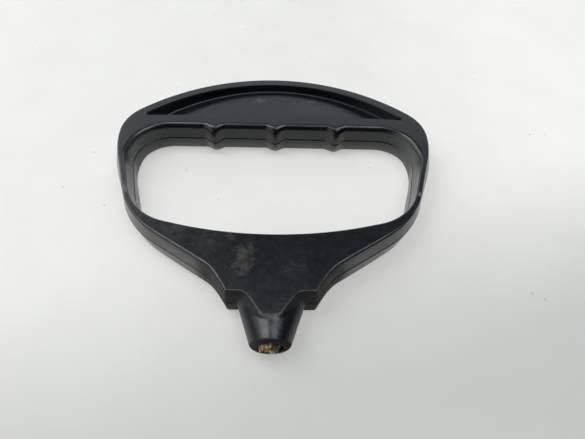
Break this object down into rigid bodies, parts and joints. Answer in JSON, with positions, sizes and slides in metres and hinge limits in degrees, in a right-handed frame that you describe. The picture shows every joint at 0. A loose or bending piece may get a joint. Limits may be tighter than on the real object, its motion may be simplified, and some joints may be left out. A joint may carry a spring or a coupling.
{
  "type": "recoil starter handle",
  "caption": "D-shaped moulded pull handle with a hand opening, finger ridges, a recessed grip bar and a tapered nose that holds a cut rope stub.",
  "frame": {"origin": "middle of the bottom of the part's box: on the back face's plane, midway between the arms and midway between the nose's end and the top of the grip bar", "axes": "+X across the grip bar, +Y from the rope nose to the grip bar, +Z out of the front face"},
  "size_m": [0.1354, 0.1294, 0.0141],
  "materials": {
    "moulded_plastic": "moulded, slightly glossy, handled and dusty",
    "rope_fibre": "cut braided rope end, frayed and greasy"
  },
  "bodies": {
    "root": {"handle_body": "moulded_plastic", "rope_stub": "rope_fibre"}
  },
  "joints": []
}
